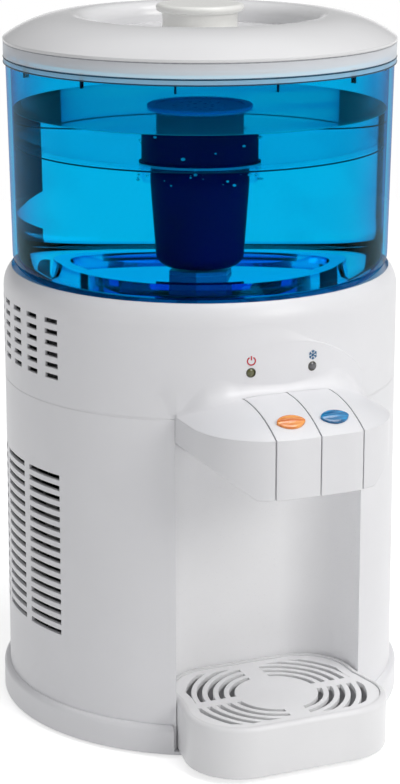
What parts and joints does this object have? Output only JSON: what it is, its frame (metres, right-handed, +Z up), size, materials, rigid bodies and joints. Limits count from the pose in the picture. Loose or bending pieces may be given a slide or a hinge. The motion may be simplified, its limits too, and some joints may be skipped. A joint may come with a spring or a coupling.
{
  "type": "benchtop water cooler",
  "caption": "Round benchtop water cooler with a clear blue filter tank on a white body, a glass alcove, a beak with push levers, a drip tray, and a cooling unit inside.",
  "frame": {"origin": "on the counter, in the middle of the footprint's bounding box", "axes": "+Z up, -Y towards the front with the levers and the tray, +X to the right as seen from the front"},
  "size_m": [0.26, 0.3094, 0.4473],
  "materials": {
    "white_gloss": "gloss moulded",
    "white_liner": "gloss moulded",
    "cream_knob": "gloss moulded",
    "clear_blue": "clear tinted plastic",
    "filter_navy": "gloss moulded",
    "filter_teal": "gloss moulded",
    "rubber_dark": "matt",
    "steel": "satin",
    "insert_orange": "gloss moulded",
    "insert_blue": "gloss moulded",
    "valve_white": "plain moulded",
    "lamp_olive": "clear lens",
    "lamp_grey": "clear lens",
    "board_green": "coated board",
    "hose_clear": "milky silicone",
    "foam": "cellular",
    "aluminium": "machined",
    "module_white": "plain ceramic",
    "black_plastic": "fine texture",
    "grey_plastic": "plain moulded"
  },
  "bodies": {
    "cabinet": {"upper_housing": "white_gloss", "front_fascia": "white_gloss", "lower_housing": "white_gloss", "base": "white_gloss", "alcove_liner": "white_liner", "rubber_feet": "rubber_dark", "base_screws": "steel", "lever_pin": "steel", "ambient_spring": "steel", "cold_spring": "steel", "cold_tank": "steel", "ambient_tap": "valve_white", "cold_tap": "valve_white", "water_receiver": "valve_white", "drain_spout": "valve_white", "power_led": "lamp_olive", "cold_led": "lamp_grey", "control_board": "board_green", "power_supply": "board_green", "feed_hose": "hose_clear", "ambient_hose": "hose_clear", "cold_hose": "hose_clear", "drain_hose": "hose_clear", "foam_jacket": "foam", "cold_block": "aluminium", "heat_sink": "aluminium", "peltier_module": "module_white", "fan_frame": "black_plastic", "power_inlet": "black_plastic", "switch_bezel": "black_plastic"},
    "tank": {"water_tank": "clear_blue", "tank_outlet": "valve_white", "outlet_seal": "rubber_dark"},
    "bowl": {"upper_bowl": "clear_blue", "filter_cartridge": "filter_navy", "filter_cap": "filter_teal", "filter_seal": "rubber_dark", "filter_nut": "clear_blue"},
    "lid_set": {"lid": "white_gloss", "lid_knob": "cream_knob"},
    "ambient_key": {"ambient_lever": "white_gloss", "ambient_insert": "insert_orange"},
    "cold_key": {"cold_lever": "white_gloss", "cold_insert": "insert_blue"},
    "ambient_valve": {"ambient_plunger": "valve_white"},
    "cold_valve": {"cold_plunger": "valve_white"},
    "tray": {"drip_tray": "white_gloss"},
    "grille": {"drip_grille": "white_gloss"},
    "fan": {"fan_rotor": "black_plastic"},
    "rocker": {"switch_rocker": "black_plastic"},
    "drain_plug": {"drain_cap": "grey_plastic"}
  },
  "joints": [
    {"name": "tank_lift", "type": "slide", "parent": "cabinet", "child": "tank", "axis": [0, 0, 1], "range_m": [0, 0.06]},
    {"name": "bowl_lift", "type": "slide", "parent": "tank", "child": "bowl", "axis": [0, 0, 1], "range_m": [0, 0.09]},
    {"name": "lid_lift", "type": "slide", "parent": "bowl", "child": "lid_set", "axis": [0, 0, 1], "range_m": [0, 0.04]},
    {"name": "ambient_press", "type": "hinge", "parent": "cabinet", "child": "ambient_key", "pos_m": [-0.014, -0.1113, 0.22216], "axis": [1, 0, 0], "range_deg": [0, 6], "stiffness_Nm_per_rad": 2, "springref_deg": -1.15},
    {"name": "cold_press", "type": "hinge", "parent": "cabinet", "child": "cold_key", "pos_m": [0.014, -0.1113, 0.22216], "axis": [1, 0, 0], "range_deg": [0, 6], "stiffness_Nm_per_rad": 2, "springref_deg": -1.15},
    {"name": "ambient_plunge", "type": "slide", "parent": "cabinet", "child": "ambient_valve", "axis": [0, 0, -1], "range_m": [0, 0.002], "deforming": ["ambient_spring"]},
    {"name": "cold_plunge", "type": "slide", "parent": "cabinet", "child": "cold_valve", "axis": [0, 0, -1], "range_m": [0, 0.002], "deforming": ["cold_spring"]},
    {"name": "tray_slide", "type": "slide", "parent": "cabinet", "child": "tray", "axis": [0, -1, 0], "range_m": [0, 0.09]},
    {"name": "grille_lift", "type": "slide", "parent": "tray", "child": "grille", "axis": [0, 0, 1], "range_m": [0, 0.04]},
    {"name": "fan_spin", "type": "hinge", "parent": "cabinet", "child": "fan", "pos_m": [-0.074, 0.0327, 0.1175], "axis": [1, 0, 0], "continuous": true},
    {"name": "rocker_tip", "type": "hinge", "parent": "cabinet", "child": "rocker", "pos_m": [0, 0.14643, 0.088], "axis": [-1, 0, 0], "range_deg": [0, 16]},
    {"name": "drain_pull", "type": "slide", "parent": "cabinet", "child": "drain_plug", "axis": [0, 1, 0], "range_m": [0, 0.03]}
  ],
  "couplings": [
    {"joint": "ambient_plunge", "follows": "ambient_press", "m_per_rad": 0.019},
    {"joint": "cold_plunge", "follows": "cold_press", "m_per_rad": 0.019}
  ]
}
